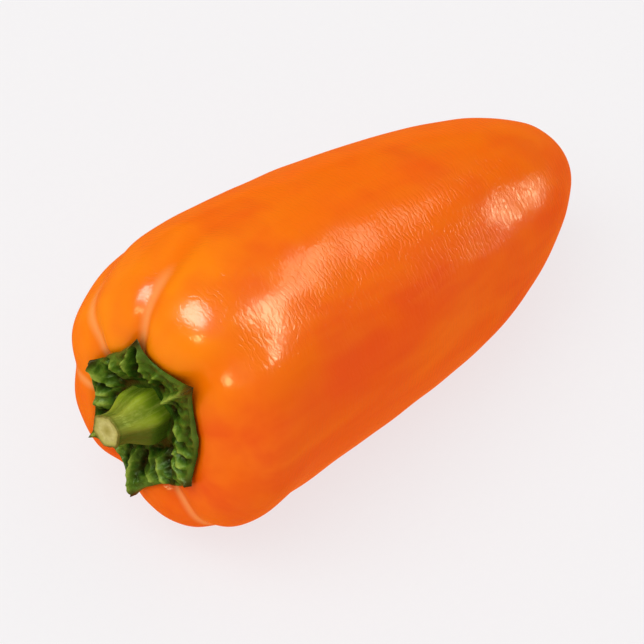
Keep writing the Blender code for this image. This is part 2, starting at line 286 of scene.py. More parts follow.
# For the material: where each point grew, how deep it is in a furrow for the painted shade there, and how
# near a furrow's painted highlight line
growth = np.stack([np.cos(around), np.sin(around), height / FRUIT_LENGTH], axis=-1)
painted_highlight_line = sum(bell(degrees_from(around, degrees), PAINTED_HIGHLIGHT_HALF_WIDTH) for degrees in PAINTED_HIGHLIGHT_FURROWS)
painted_highlight_line *= eased(height / FRUIT_LENGTH, 0.87, 0.96)
hollow = np.stack([sunk, painted_highlight_line, 0 * sunk], axis=-1)
fruit = closed_skin("fruit_skin", fruit_points, {"grown_mm": straight, "growth": growth, "hollow": hollow})

# Waxed orange pepper skin: a thin cuticle with its own wax over juicy flesh, very glossy and a little
# translucent. The eye gets a deep saturated orange, yellower on the shoulders, and sharp broken glints.
PATCH_LENGTH = 11.0
skin = bpy.data.materials.new("waxed_orange_pepper_skin")
skin.use_nodes = True
skin_shader = skin.node_tree.nodes["Principled BSDF"]
grown = add_node(skin, "ShaderNodeAttribute", attribute_name="grown_mm").outputs["Vector"]
growth_place = add_node(skin, "ShaderNodeAttribute", attribute_name="growth").outputs["Vector"]
growth_axes = add_node(skin, "ShaderNodeSeparateXYZ", {0: growth_place})
hollow_place = add_node(skin, "ShaderNodeAttribute", attribute_name="hollow").outputs["Vector"]
hollow_axes = add_node(skin, "ShaderNodeSeparateXYZ", {0: hollow_place})
# Ripe colour from the tip up to the shoulder, which is the yellowest
ripeness = add_node(
    skin,
    "ShaderNodeValToRGB",
    {"Fac": growth_axes.outputs["Z"]},
    stops=(
        (0.00, "#fc6801"),
        (1.00, "#ff8c02"),
        (0.08, "#fd6d01"),
        (0.30, "#fe7001"),
        (0.60, "#ff7201"),
        (0.78, "#ff7a01"),
        (0.90, "#ff8802"),
    ),
)
# Painted shade: the front flank and the underside, turned away from the light, are painted a deeper
# orange-red than the top
lit_side_facing = add_node(
    skin, "ShaderNodeVectorMath", {0: growth_place, 1: (0.77, 0.64, 0.0)}, operation="DOT_PRODUCT"
)
flank_painted_shade_amount = add_node(
    skin, "ShaderNodeMapRange", {0: lit_side_facing.outputs["Value"], 1: 0.75, 2: -0.35, 3: 0.0, 4: 0.75}
)
flank_painted_shade_colour = add_node(
    skin,
    "ShaderNodeMix",
    {0: flank_painted_shade_amount.outputs[0], 6: ripeness.outputs["Color"], 7: linear("#ea4700")},
    data_type="RGBA",
)
# Redder patches, about a centimetre across
patches = add_node(
    skin,
    "ShaderNodeTexNoise",
    {"Vector": grown, "Scale": 1 / PATCH_LENGTH, "Detail": 2.0, "Roughness": 0.5},
)
patch_share = add_node(
    skin, "ShaderNodeMapRange", {0: patches.outputs["Fac"], 1: 0.44, 2: 0.66, 3: 0.0, 4: 0.50}
)
redder = add_node(
    skin,
    "ShaderNodeMix",
    {0: patch_share.outputs[0], 6: flank_painted_shade_colour.outputs[2], 7: linear("#ea4400")},
    data_type="RGBA",
)
# Yellower streaks along the fruit, about 6 mm wide and 45 mm long
streak_space = add_node(skin, "ShaderNodeMapping", {"Vector": grown, "Scale": (0.16, 0.16, 0.022)})
streak_place = streak_space.outputs["Vector"]
streaks = add_node(
    skin,
    "ShaderNodeTexNoise",
    {"Vector": streak_place, "Scale": 1.0, "Detail": 3.0, "Roughness": 0.55, "Distortion": 0.3},
)
streak_share = add_node(
    skin, "ShaderNodeMapRange", {0: streaks.outputs["Fac"], 1: 0.42, 2: 0.72, 3: 0.0, 4: 0.45}
)
streaked = add_node(
    skin,
    "ShaderNodeMix",
    {0: streak_share.outputs[0], 6: redder.outputs[2], 7: linear("#ff8201")},
    data_type="RGBA",
)
# Painted shade: the furrows are painted a deeper orange-red by their depth
furrow_painted_shade_amount = add_node(
    skin, "ShaderNodeMapRange", {0: hollow_axes.outputs["X"], 1: 0.3, 2: 1.8, 3: 0.0, 4: 0.6}
)
furrow_painted_shade_colour = add_node(
    skin,
    "ShaderNodeMix",
    {0: furrow_painted_shade_amount.outputs[0], 6: streaked.outputs[2], 7: linear("#f04e01")},
    data_type="RGBA",
)
# Painted highlight: a pale line is painted in the bottom of each furrow by the calyx, where a glint of light
# would lie
painted_highlight_amount = add_node(
    skin, "ShaderNodeMapRange", {0: hollow_axes.outputs["Y"], 1: 0.15, 2: 1.0, 3: 0.0, 4: 0.50}
)
painted_highlight_colour = add_node(
    skin,
    "ShaderNodeMix",
    {0: painted_highlight_amount.outputs[0], 6: furrow_painted_shade_colour.outputs[2], 7: linear("#ffb468")},
    data_type="RGBA",
)
# Crinkles of the cuticle form a net of scales, about 1.6 mm wide round the fruit and 0.6 mm along it
crinkle_bend = add_node(
    skin, "ShaderNodeTexNoise", {"Vector": grown, "Scale": 0.6, "Detail": 2.0, "Roughness": 0.6}
)
crinkle_shift = add_node(
    skin, "ShaderNodeVectorMath", {0: crinkle_bend.outputs["Color"], "Scale": 1.6}, operation="SCALE"
)
crinkle_place = add_node(
    skin, "ShaderNodeVectorMath", {0: grown, 1: crinkle_shift.outputs["Vector"]}, operation="ADD"
)
crinkle_space = add_node(
    skin, "ShaderNodeMapping", {"Vector": crinkle_place.outputs["Vector"], "Scale": (0.62, 0.62, 1.8)}
)
crinkle_net = add_node(
    skin,
    "ShaderNodeTexVoronoi",
    {"Vector": crinkle_space.outputs["Vector"], "Scale": 1.0},
    feature="DISTANCE_TO_EDGE",
)
crinkles = add_node(
    skin,
    "ShaderNodeMapRange",
    {0: crinkle_net.outputs["Distance"], 1: 0.0, 2: 0.22, 3: 0.0, 4: 1.0},
    interpolation_type="SMOOTHSTEP",
)
# Wrinkles are narrow grooves that run round the fruit about 0.75 mm apart and break off, with level wax
# between them, so they show as thin dark lines across the long glint
wrinkles = add_node(
    skin,
    "ShaderNodeTexWave",
    {
        "Vector": crinkle_place.outputs["Vector"],
        "Scale": 0.42,
        "Distortion": 5.0,
        "Detail": 1.5,
        "Detail Scale": 1.1,
        "Detail Roughness": 0.6,
    },
    wave_type="BANDS",
    bands_direction="Z",
    wave_profile="SIN",
)
wrinkle_break_space = add_node(skin, "ShaderNodeMapping", {"Vector": grown, "Scale": (0.42, 0.42, 0.8)})
wrinkle_breaks = add_node(
    skin,
    "ShaderNodeTexNoise",
    {"Vector": wrinkle_break_space.outputs["Vector"], "Scale": 1.0, "Detail": 1.0, "Roughness": 0.5},
)
wrinkle_share = add_node(
    skin, "ShaderNodeMapRange", {0: wrinkle_breaks.outputs["Fac"], 1: 0.40, 2: 0.60, 3: 0.6, 4: 1.0}
)
wrinkle_grooves = add_node(
    skin,
    "ShaderNodeMapRange",
    {0: wrinkles.outputs["Fac"], 1: 0.0, 2: 0.45, 3: 0.0, 4: 1.0},
    interpolation_type="SMOOTHSTEP",
)
wrinkle_height = add_node(
    skin,
    "ShaderNodeMath",
    {0: wrinkle_grooves.outputs[0], 1: wrinkle_share.outputs[0]},
    operation="MULTIPLY",
)
surface_height = add_node(
    skin,
    "ShaderNodeMath",
    {0: crinkles.outputs[0], 1: 0.45, 2: wrinkle_height.outputs[0]},
    operation="MULTIPLY_ADD",
)
# The shoulder is stretched tight and crinkles less
below_shoulder = add_node(
    skin, "ShaderNodeMapRange", {0: growth_axes.outputs["Z"], 1: 0.98, 2: 0.88, 3: 0.60, 4: 1.0}
)
crinkle_height = add_node(
    skin,
    "ShaderNodeMath",
    {0: surface_height.outputs[0], 1: below_shoulder.outputs[0]},
    operation="MULTIPLY",
)
# The wax shows the crinkles at 0.022 mm and pores as well, the flesh under it only half of that.
# The pores are drawn coarser than real ones, 0.6 mm across.
crinkled = add_node(
    skin,
    "ShaderNodeBump",
    {"Strength": 1.0, "Distance": 0.000022, "Height": crinkle_height.outputs[0]},
)
pores = add_node(
    skin, "ShaderNodeTexNoise", {"Vector": grown, "Scale": 1.6, "Detail": 2.0, "Roughness": 0.5}
)
pored = add_node(
    skin,
    "ShaderNodeBump",
    {
        "Strength": 1.0,
        "Distance": 0.000012,
        "Height": pores.outputs["Fac"],
        "Normal": crinkled.outputs["Normal"],
    },
)
softly_crinkled = add_node(
    skin,
    "ShaderNodeBump",
    {"Strength": 1.0, "Distance": 0.000010, "Height": crinkle_height.outputs[0]},
)
dull_spots = add_node(
    skin, "ShaderNodeMapRange", {0: patches.outputs["Fac"], 1: 0.3, 2: 0.7, 3: 0.17, 4: 0.25}
)
for socket, value in (
    ("IOR", 1.45),
    ("Subsurface Weight", 0.12),
    ("Subsurface Radius", (1.0, 0.25, 0.04)),
    ("Subsurface Scale", 0.003),
    ("Coat Weight", 0.45),
    ("Coat Roughness", 0.05),
    ("Coat IOR", 1.45),
):
    skin_shader.inputs[socket].default_value = value
for output, socket in (
    (painted_highlight_colour.outputs[2], "Base Color"),
    (dull_spots.outputs[0], "Roughness"),
    (softly_crinkled.outputs["Normal"], "Normal"),
    (pored.outputs["Normal"], "Coat Normal"),
):
    skin.node_tree.links.new(output, skin_shader.inputs[socket])
fruit.data.materials.append(skin)
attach(fruit, "root")
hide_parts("fruit")

# The calyx: fused green sepals that stay on the fruit as a crumpled six-pointed star round the stem.
# It is a leathery leaf about a millimetre thick, grown on to the fruit in the dimple and free at its
# points, with a raised rim, a keel to each point, knobs and hollows between them, the hollows painted dark
# as shade.
CALYX_THICKNESS = 0.9
PIECE_GAP = 0.3
POINT_HALF_WIDTH = 11.0
# Teeth: angle, radius of the point, how far it curls up, and radius of the valley after it
TEETH = (
    (20, 11.8, 0.5, 8.9), (74, 11.0, 0.4, 8.4), (135, 11.2, 0.3, 8.6),
    (181, 12.6, 0.3, 9.2), (243, 10.5, 0.3, 9.3), (328, 12.3, 1.2, 9.0),
)
# Folds, knobs and hollows: angle and radius at either end, height, half width
FOLDS = (
    (36, 5.6, 28, 8.3, 0.75, 0.45), (28, 8.3, 21, 11.5, 0.75, 0.30), (4, 6.8, 14, 10.8, 0.65, 0.33),
    (19, 9.9, 21, 6.0, -1.00, 0.62), (343, 6.2, 345, 7.0, -0.95, 0.75), (355, 6.4, 352, 8.4, 0.55, 0.38),
    (326, 5.2, 328, 11.9, 1.35, 0.40), (312, 5.4, 309, 6.8, -1.00, 0.65), (319, 7.4, 312, 8.9, -0.45, 0.45),
    (288, 5.8, 283, 7.2, 0.90, 0.60), (268, 6.0, 266, 8.4, 0.55, 0.36), (242, 5.6, 238, 6.8, -1.00, 0.70),
    (256, 6.6, 252, 8.4, 0.75, 0.42), (246, 7.0, 243, 10.4, 0.65, 0.30), (229, 6.6, 228, 8.8, -0.70, 0.40),
    (218, 6.2, 216, 8.9, 0.80, 0.50), (204, 6.0, 203, 8.8, 0.60, 0.36), (194, 6.0, 190, 8.2, -1.00, 0.50),
    (180, 5.8, 180, 12.2, 0.90, 0.34), (168, 6.4, 171, 8.8, -0.70, 0.42), (158, 6.2, 158, 8.2, 0.65, 0.50),
    (136, 5.8, 135, 10.8, 0.80, 0.34), (121, 5.8, 120, 7.6, -0.80, 0.50), (146, 5.8, 147, 7.6, -0.70, 0.42),
    (106, 6.2, 108, 8.0, 0.70, 0.50), (94, 6.2, 96, 7.6, 0.65, 0.45), (86, 6.4, 86, 8.2, -0.75, 0.36),
    (77, 5.8, 76, 10.6, 0.90, 0.34), (62, 5.8, 62, 7.8, -0.80, 0.45), (50, 6.8, 48, 8.4, 0.70, 0.50),
    (275, 7.6, 297, 8.6, -0.40, 0.28), (232, 9.6, 222, 8.0, 0.35, 0.25), (64, 9.4, 52, 8.2, 0.35, 0.25),
)
CREASE_HEIGHT = 0.20
FINE_CREASE_HEIGHT = 0.12
GRAIN_HEIGHT = 0.06
BEAD_HEIGHT = 0.32
EDGE_ROUNDING = 0.32
FOOT_RADIUS = 4.7
UNDER_CALYX_GAP = 0.20
FURROW_FOLLOWING = 0.45
WAIST_SHARE = 0.35
CALYX_COLUMNS = 480
CALYX_UPPER_RINGS = 92
CALYX_LOWER_RINGS = 20


def calyx_rim(around):
    """Radius of the star's edge: from each point it falls off exponentially to the valleys beside it.

    Small waves make it uneven.
    """
    first = TEETH[0][0]
    angles = np.array([tooth[0] for tooth in TEETH] + [first + 360.0])
    degrees = np.mod(np.degrees(around) - first, 360.0) + first
    gap = np.clip(np.searchsorted(angles, degrees, side="right") - 1, 0, len(TEETH) - 1)
    point = np.array([tooth[1] for tooth in TEETH])
    valley = np.array([tooth[3] for tooth in TEETH])[gap]
    from_last = (point[gap] - valley) * np.exp(-(degrees - angles[gap]) / POINT_HALF_WIDTH)
    next_point = point[(gap + 1) % len(TEETH)]
    from_next = (next_point - valley) * np.exp(-(angles[gap + 1] - degrees) / POINT_HALF_WIDTH)
    near_point = np.maximum(from_last, from_next)
    ring = round_axis(9.0, 0.0, around)
    uneven = 0.20 * waves(ring, 4.0, 21) + 0.12 * waves(ring, 1.6, 22)
    return valley + near_point + uneven * (1.0 - np.clip(near_point / 2.0, 0.0, 0.8))


def share_at_crown(radius):
    """Where the half outline reaches that radius on its way over the shoulder into the dimple."""
    widest = np.argmax(outline[:, 0])
    return np.interp(radius, outline[widest:, 0][::-1], outline_share[widest:][::-1])


def raised_fold(across, upwards, fold):
    """Height of one fold: a bell across the straight line between its two ends, which taper off."""
    a, ra, b, rb, rise, half_width = fold
    start = np.array([ra * math.cos(math.radians(a)), ra * math.sin(math.radians(a))])
    run = np.array([rb * math.cos(math.radians(b)), rb * math.sin(math.radians(b))]) - start
    along = ((across - start[0]) * run[0] + (upwards - start[1]) * run[1]) / (run @ run)
    along = np.clip(along, 0.0, 1.0)
    away = np.hypot(across - start[0] - along * run[0], upwards - start[1] - along * run[1])
    return rise * np.exp(-((away / half_width) ** 2))


# Rings run from the middle of the underside out to the rim and back over the top
profile_upper = np.interp(
    np.linspace(0.0, 1.0, CALYX_UPPER_RINGS), [0.0, 0.12, 0.90, 1.0], [1.0, 0.955, 0.36, 0.0]
)
profile_lower = np.linspace(0.0, 1.0, CALYX_LOWER_RINGS) ** 0.6
profile = np.concatenate([profile_lower, profile_upper])
is_upper = np.concatenate([np.zeros(CALYX_LOWER_RINGS), np.ones(CALYX_UPPER_RINGS)])
place = np.arange(CALYX_COLUMNS) / CALYX_COLUMNS * len(TEETH)
place -= 0.10 * np.sin(2 * math.pi * place)
tooth_angles = [tooth[0] for tooth in TEETH] + [TEETH[0][0] + 360.0]
turned = np.radians(np.interp(place, np.arange(len(tooth_angles)), tooth_angles))
share, around = np.meshgrid(profile, turned, indexing="ij")
upper = np.broadcast_to(is_upper[:, None], share.shape)
rim = calyx_rim(around)
radius = rim * share
flat = round_axis(radius, 0.0, around)
rim_slope = np.gradient(rim, axis=1) / np.gradient(np.unwrap(around, axis=1), axis=1) / rim
from_edge = (rim - radius) / np.sqrt(1.0 + np.clip(rim_slope, -4.0, 4.0) ** 2)
# Folds and creases fade out at the foot, where the stem stands, and at the edge, which has its own bead
relief = sum(raised_fold(flat[..., 0], flat[..., 1], fold) for fold in FOLDS)
creases = 1.0 - 2.2 * np.abs(waves(flat, 2.6, 23))
fine_creases = 1.0 - 2.2 * np.abs(waves(flat, 1.5, 25))
crumple = CREASE_HEIGHT * creases + FINE_CREASE_HEIGHT * fine_creases + GRAIN_HEIGHT * waves(flat, 0.8, 24)
beyond_foot = eased(radius, 4.3, 5.6)
foot_ring = -0.35 * bell(radius - FOOT_RADIUS, 0.5)
thick_rim = np.clip(0.45 + 0.75 * waves(round_axis(9.0, 0.0, around), 5.0, 26), 0.0, 1.0)
rim_bead = BEAD_HEIGHT * thick_rim * bell(from_edge - 0.36, 0.24)
within_edge = eased(from_edge, 0.10, 0.90)
folded = relief * eased(from_edge, 0.0, 0.45) + crumple * within_edge
surface = folded * beyond_foot + foot_ring + rim_bead
into_edge = 1.0 - np.clip(from_edge / EDGE_ROUNDING, 0.0, 1.0)
edge_round = np.sqrt(np.clip(1.0 - into_edge**2, 0.0, 1.0))
thickness = CALYX_THICKNESS * (0.62 + 0.38 * eased(from_edge, 0.2, 2.0))
curl = np.zeros_like(radius)
for degrees, point, rise, *_ in TEETH:
    out = np.clip((radius - 0.6 * point) / (0.4 * point), 0.0, 1.0)
    curl += rise * out**2 * bell(degrees_from(around, degrees), 10.0)
outline_radius, outline_height, normal_out, normal_up = read_outline(share_at_crown(radius))
settled = FURROW_FOLLOWING * np.maximum(furrow_depth(outline_radius, outline_height, around), 0.0)
underside = UNDER_CALYX_GAP + curl - settled
waist = WAIST_SHARE * thickness
lift = np.where(
    upper > 0.5,
    underside + waist + (thickness - waist + surface) * edge_round,
    underside + waist * (1.0 - edge_round),
)
lift = np.maximum(lift, underside)
calyx_grown = round_axis(
    outline_radius + lift * np.maximum(normal_out, 0.0),
    outline_height + lift * np.where(normal_out > 0.0, normal_up, 1.0),
    around,
)
calyx_points = laid_down(lopsided(calyx_grown))
# For the material: how high each point stands, which sets the painted light and shade, how near the rim's
# bead, and how near a dried tip
painted_relief_light_share = np.clip(0.40 + 0.62 * (surface - rim_bead), 0.0, 1.0)
near_edge = bell(from_edge - 0.30, 0.30) * upper * thick_rim
tip_share = np.zeros_like(radius)
for degrees, point, *_ in TEETH:
    tip_share += eased(radius, point - 1.9, point - 0.2) * bell(degrees_from(around, degrees), 6.0)
leaf = np.stack([painted_relief_light_share, near_edge, tip_share], axis=-1)
calyx = closed_skin("calyx_star", calyx_points, {"leaf": leaf, "grown_mm": calyx_grown})

# Leathery sepal: dark green leaf tissue with a thin cuticle, with painted light where folds stand up and
# painted shade, almost black, in the hollows; the rim is paler, and the points have dried brown. Satin, with
# small greenish glints.
sepal = bpy.data.materials.new("leathery_green_sepal")
sepal.use_nodes = True
sepal_shader = sepal.node_tree.nodes["Principled BSDF"]
leaf_place = add_node(sepal, "ShaderNodeAttribute", attribute_name="leaf").outputs["Vector"]
leaf_axes = add_node(sepal, "ShaderNodeSeparateXYZ", {0: leaf_place})
leaf_mm = add_node(sepal, "ShaderNodeAttribute", attribute_name="grown_mm").outputs["Vector"]
blotches = add_node(
    sepal, "ShaderNodeTexNoise", {"Vector": leaf_mm, "Scale": 0.55, "Detail": 4.0, "Roughness": 0.6}
)
blotch_height = add_node(
    sepal, "ShaderNodeMapRange", {0: blotches.outputs["Fac"], 1: 0.3, 2: 0.7, 3: -0.22, 4: 0.22}
)
painted_relief_light_and_blotches = add_node(
    sepal, "ShaderNodeMath", {0: leaf_axes.outputs["X"], 1: blotch_height.outputs[0]}, operation="ADD"
)
# Painted light and shade: raised folds are painted lighter and the hollows nearly black, with blotchy tone
# on top
painted_relief_light_colour = add_node(
    sepal,
    "ShaderNodeValToRGB",
    {"Fac": painted_relief_light_and_blotches.outputs[0]},
    stops=((0.0, "#091c02"), (1.0, "#93ab3e"), (0.22, "#1a3607"), (0.45, "#33570e"), (0.70, "#54771a")),
)
# The raised rim is paler, and the points have dried brown
edge_share = add_node(
    sepal, "ShaderNodeMath", {0: leaf_axes.outputs["Y"], 1: 0.60}, operation="MULTIPLY"
)
edged = add_node(
    sepal,
    "ShaderNodeMix",
    {0: edge_share.outputs[0], 6: painted_relief_light_colour.outputs["Color"], 7: linear("#648328")},
    data_type="RGBA",
)
brown_share = add_node(
    sepal, "ShaderNodeMath", {0: leaf_axes.outputs["Z"], 1: 0.9}, operation="MULTIPLY"
)
browned = add_node(
    sepal,
    "ShaderNodeMix",
    {0: brown_share.outputs[0], 6: edged.outputs[2], 7: linear("#2a2008")},
    data_type="RGBA",
)
leaf_grain = add_node(
    sepal, "ShaderNodeTexNoise", {"Vector": leaf_mm, "Scale": 3.2, "Detail": 3.0, "Roughness": 0.6}
)
grained = add_node(
    sepal, "ShaderNodeBump", {"Strength": 1.0, "Distance": 0.00010, "Height": leaf_grain.outputs["Fac"]}
)
for socket, value in (("Roughness", 0.36), ("IOR", 1.42), ("Coat Weight", 0.12), ("Coat Roughness", 0.2)):
    sepal_shader.inputs[socket].default_value = value
sepal_shader.inputs["Specular Tint"].default_value = (0.55, 1.0, 0.40, 1.0)
sepal.node_tree.links.new(browned.outputs[2], sepal_shader.inputs["Base Color"])
sepal.node_tree.links.new(grained.outputs["Normal"], sepal_shader.inputs["Normal"])
calyx.data.materials.append(sepal)
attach(calyx, "root")
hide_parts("calyx")

# The stem: a short fleshy stalk with ribs, swollen at its foot where it grows out of the calyx.
# It was cut through with shears, which left a pale, slightly hollow, dried end with a bruised rim.
STEM_LENGTH = 6.2
STEM_FOOT_RADIUS = 3.7
STEM_NECK_RADIUS = 2.2
STEM_RIBS = 6
STEM_BEND = (0.4, 0.6)
STEM_SUNK_FOOT = 1.2
STEM_RIB_SHARE = 0.075
STEM_LIP_RADIUS = 0.14
STEM_END_DIP = 0.22
BRUISED_RIM = 0.12
STEM_SHADED_SIDE = math.radians(215)
STEM_COLUMNS = 180
STEM_FOOT_RINGS = 6
STEM_SIDE_RINGS = 80
STEM_END_RINGS = 22

# Rings run from the middle of the sunk foot up the side and in over the cut end
seat_height = read_outline(share_at_crown(SEAT_RADIUS))[1] + PIECE_GAP + CALYX_THICKNESS
foot_rings = np.linspace(0.0, 1.0, STEM_FOOT_RINGS + 1)[:-1]
end_rings = np.linspace(1.0, 0.0, STEM_END_RINGS)
side_rings = np.linspace(0.0, 1.0, STEM_SIDE_RINGS)
stem_up = np.concatenate([np.zeros(STEM_FOOT_RINGS), side_rings, np.ones(STEM_END_RINGS)])
stem_cap = np.concatenate([foot_rings, np.ones(STEM_SIDE_RINGS), end_rings])
stem_is_end = np.concatenate([np.zeros(STEM_FOOT_RINGS + STEM_SIDE_RINGS), np.ones(STEM_END_RINGS)])
up, around = np.meshgrid(stem_up, np.arange(STEM_COLUMNS) * 2 * math.pi / STEM_COLUMNS, indexing="ij")
cap = np.broadcast_to(stem_cap[:, None], up.shape)
is_end = np.broadcast_to(stem_is_end[:, None], up.shape)
above_foot = up * (STEM_LENGTH + STEM_SUNK_FOOT) - STEM_SUNK_FOOT
above = above_foot / STEM_LENGTH
flare = (STEM_FOOT_RADIUS - STEM_NECK_RADIUS) * (1.0 - eased(above, 0.05, 0.85))
sharp_ribs = np.cos(STEM_RIBS * around) + 0.28 * np.cos(2 * STEM_RIBS * around + 0.5)
rib_height = STEM_RIB_SHARE * sharp_ribs * (1.0 - 0.5 * np.clip(above, 0.0, 1.0))
fibres = waves(round_axis(3.0, 0.06 * above_foot, around), 0.8, 31)
dents = waves(round_axis(3.0, 0.35 * above_foot, around), 2.4, 32)
side_radius = (STEM_NECK_RADIUS + flare) * (1.0 + rib_height + 0.012 * fibres + 0.02 * dents)
side_radius += BRUISED_RIM * bell(above - 0.985, 0.035)
into_lip = np.clip(above - 0.98, 0.0, 0.02) / 0.02
rounded_lip = STEM_LIP_RADIUS * (1.0 - np.sqrt(np.clip(1.0 - into_lip**2, 0.0, 1.0)))
stem_radius = (side_radius - rounded_lip * (1.0 - is_end) - STEM_LIP_RADIUS * is_end) * cap
torn_fibres = 0.06 * waves(round_axis(stem_radius, 0.0, around), 0.9, 33)
end_dip = is_end * (STEM_END_DIP * (1.0 - cap**4) + torn_fibres)
stem_straight = round_axis(stem_radius, seat_height + PIECE_GAP + above_foot - end_dip, around)
stem_grown = lopsided(stem_straight)
stem_grown[..., 0] += STEM_BEND[0] * np.clip(above, 0.0, 1.0) ** 2
stem_grown[..., 1] += STEM_BEND[1] * np.clip(above, 0.0, 1.0) ** 2
# For the material: height, place across the cut end, and rib; then cut end, lip and the side that gets
# painted shade
on_rib = np.clip(0.5 + 4.5 * rib_height + 0.12 * fibres, 0.0, 1.0)
stalk = np.stack([np.clip(above, 0.0, 1.0), cap * is_end, on_rib], axis=-1)
shaded_side = eased(np.cos(around - STEM_SHADED_SIDE), -0.35, 0.75)
cut_end = np.stack([is_end, eased(above, 0.93, 1.0), shaded_side], axis=-1)
stem = closed_skin(
    "stem_stalk", laid_down(stem_grown), {"stalk": stalk, "cut_end": cut_end, "grown_mm": stem_straight}
)

# Fleshy green stalk: smooth light-green skin with painted shade in the grooves between the ribs and on the
# side turned from the light, fine lengthwise fibres and a satin gloss. Its cut end is dry and pale, with a
# darker pith and a browned rim, and has no gloss.
stalk_green = bpy.data.materials.new("fleshy_green_stalk")
stalk_green.use_nodes = True
stalk_shader = stalk_green.node_tree.nodes["Principled BSDF"]
stalk_place = add_node(stalk_green, "ShaderNodeAttribute", attribute_name="stalk").outputs["Vector"]
stalk_axes = add_node(stalk_green, "ShaderNodeSeparateXYZ", {0: stalk_place})
cut_place = add_node(stalk_green, "ShaderNodeAttribute", attribute_name="cut_end").outputs["Vector"]
cut_axes = add_node(stalk_green, "ShaderNodeSeparateXYZ", {0: cut_place})
stalk_mm = add_node(stalk_green, "ShaderNodeAttribute", attribute_name="grown_mm").outputs["Vector"]
stalk_height = add_node(
    stalk_green,
    "ShaderNodeValToRGB",
    {"Fac": stalk_axes.outputs["X"]},
    stops=((0.0, "#66800f"), (1.0, "#8d9138"), (0.25, "#8ea41c"), (0.6, "#93a12a")),
)
# Painted shade: the grooves between the ribs are painted a darker green
rib_shade = add_node(
    stalk_green, "ShaderNodeMapRange", {0: stalk_axes.outputs["Z"], 1: 0.15, 2: 0.75, 3: 0.7, 4: 0.0}
)
rib_valley_painted_shade = add_node(
    stalk_green,
    "ShaderNodeMix",
    {0: rib_shade.outputs[0], 6: stalk_height.outputs["Color"], 7: linear("#4c6a10")},
    data_type="RGBA",
)
# Fibres about 0.4 mm wide and 3 mm long
fibre_space = add_node(stalk_green, "ShaderNodeMapping", {"Vector": stalk_mm, "Scale": (2.6, 2.6, 0.3)})
fibre_lines = add_node(
    stalk_green,
    "ShaderNodeTexNoise",
    {"Vector": fibre_space.outputs["Vector"], "Scale": 1.0, "Detail": 3.0, "Roughness": 0.6},
)
fibre_share = add_node(
    stalk_green, "ShaderNodeMapRange", {0: fibre_lines.outputs["Fac"], 1: 0.45, 2: 0.75, 3: 0.0, 4: 0.5}
)
fibred = add_node(
    stalk_green,
    "ShaderNodeMix",
    {0: fibre_share.outputs[0], 6: rib_valley_painted_shade.outputs[2], 7: linear("#a5b14a")},
    data_type="RGBA",
)
# Painted shade: the side turned away from the light is painted a deeper green
shade_depth = add_node(
    stalk_green, "ShaderNodeMath", {0: cut_axes.outputs["Z"], 1: 0.85}, operation="MULTIPLY"
)
shaded = add_node(
    stalk_green,
    "ShaderNodeMix",
    {0: shade_depth.outputs[0], 6: fibred.outputs[2], 7: linear("#3a5210")},
    data_type="RGBA",
)
# The cut end from its middle out: browned pith, pale flesh, dried edge
cut_colour = add_node(
    stalk_green,
    "ShaderNodeValToRGB",
    {"Fac": stalk_axes.outputs["Y"]},
    stops=((0.0, "#9c9040"), (1.0, "#6a6422"), (0.25, "#b4a95a"), (0.55, "#cbc177"), (0.86, "#b4ac58")),
)
pith = add_node(
    stalk_green, "ShaderNodeTexNoise", {"Vector": stalk_mm, "Scale": 2.2, "Detail": 3.0, "Roughness": 0.6}
)
pith_share = add_node(
    stalk_green, "ShaderNodeMapRange", {0: pith.outputs["Fac"], 1: 0.4, 2: 0.7, 3: 0.0, 4: 0.5}
)
pithy = add_node(
    stalk_green,
    "ShaderNodeMix",
    {0: pith_share.outputs[0], 6: cut_colour.outputs["Color"], 7: linear("#a0954c")},
    data_type="RGBA",
)
lip_share = add_node(
    stalk_green, "ShaderNodeMath", {0: cut_axes.outputs["Y"], 1: 0.7}, operation="MULTIPLY"
)
lipped = add_node(
    stalk_green,
    "ShaderNodeMix",
    {0: lip_share.outputs[0], 6: shaded.outputs[2], 7: linear("#6e6a26")},
    data_type="RGBA",
)
stalk_colour = add_node(
    stalk_green,
    "ShaderNodeMix",
    {0: cut_axes.outputs["X"], 6: lipped.outputs[2], 7: pithy.outputs[2]},
    data_type="RGBA",
)
stalk_gloss = add_node(
    stalk_green, "ShaderNodeMapRange", {0: cut_axes.outputs["X"], 1: 0.0, 2: 1.0, 3: 0.33, 4: 0.8}
)
stalk_grain = add_node(
    stalk_green,
    "ShaderNodeBump",
    {"Strength": 1.0, "Distance": 0.00012, "Height": fibre_lines.outputs["Fac"]},
)
stalk_shader.inputs["IOR"].default_value = 1.45
stalk_shader.inputs["Specular Tint"].default_value = (0.8, 1.0, 0.45, 1.0)
for output, socket in (
    (stalk_colour.outputs[2], "Base Color"),
    (stalk_gloss.outputs[0], "Roughness"),
    (stalk_grain.outputs["Normal"], "Normal"),
):
    stalk_green.node_tree.links.new(output, stalk_shader.inputs[socket])
stem.data.materials.append(stalk_green)
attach(stem, "root")
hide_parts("stem")

